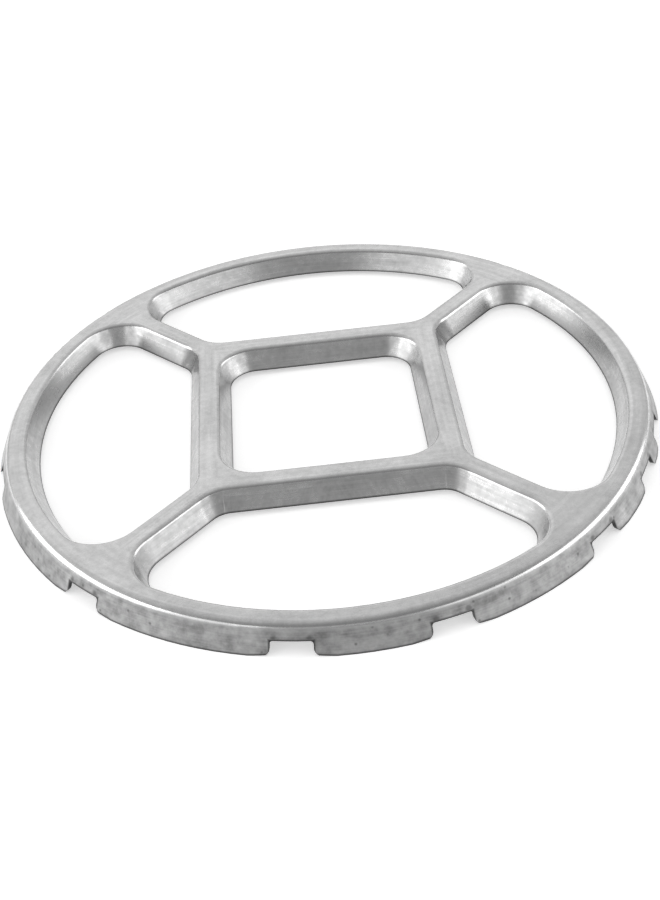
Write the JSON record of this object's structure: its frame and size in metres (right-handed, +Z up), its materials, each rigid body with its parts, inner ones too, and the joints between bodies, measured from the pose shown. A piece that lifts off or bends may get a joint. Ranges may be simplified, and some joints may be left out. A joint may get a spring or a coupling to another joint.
{
  "type": "wok ring",
  "caption": "Round pressed steel wok ring: flat grid of channel bars round a square opening, with a flared skirt notched to sit over pan-support fingers.",
  "frame": {"origin": "centre of the ring in the plane under its feet", "axes": "+Z up from the feet to the flat top; X and Y run square to the sides of the square opening, so the spokes lie between them"},
  "size_m": [0.24, 0.24, 0.0097],
  "materials": {
    "steel": "satin stainless sheet with faint press marks"
  },
  "bodies": {
    "root": {"wok_ring": "steel"}
  },
  "joints": []
}
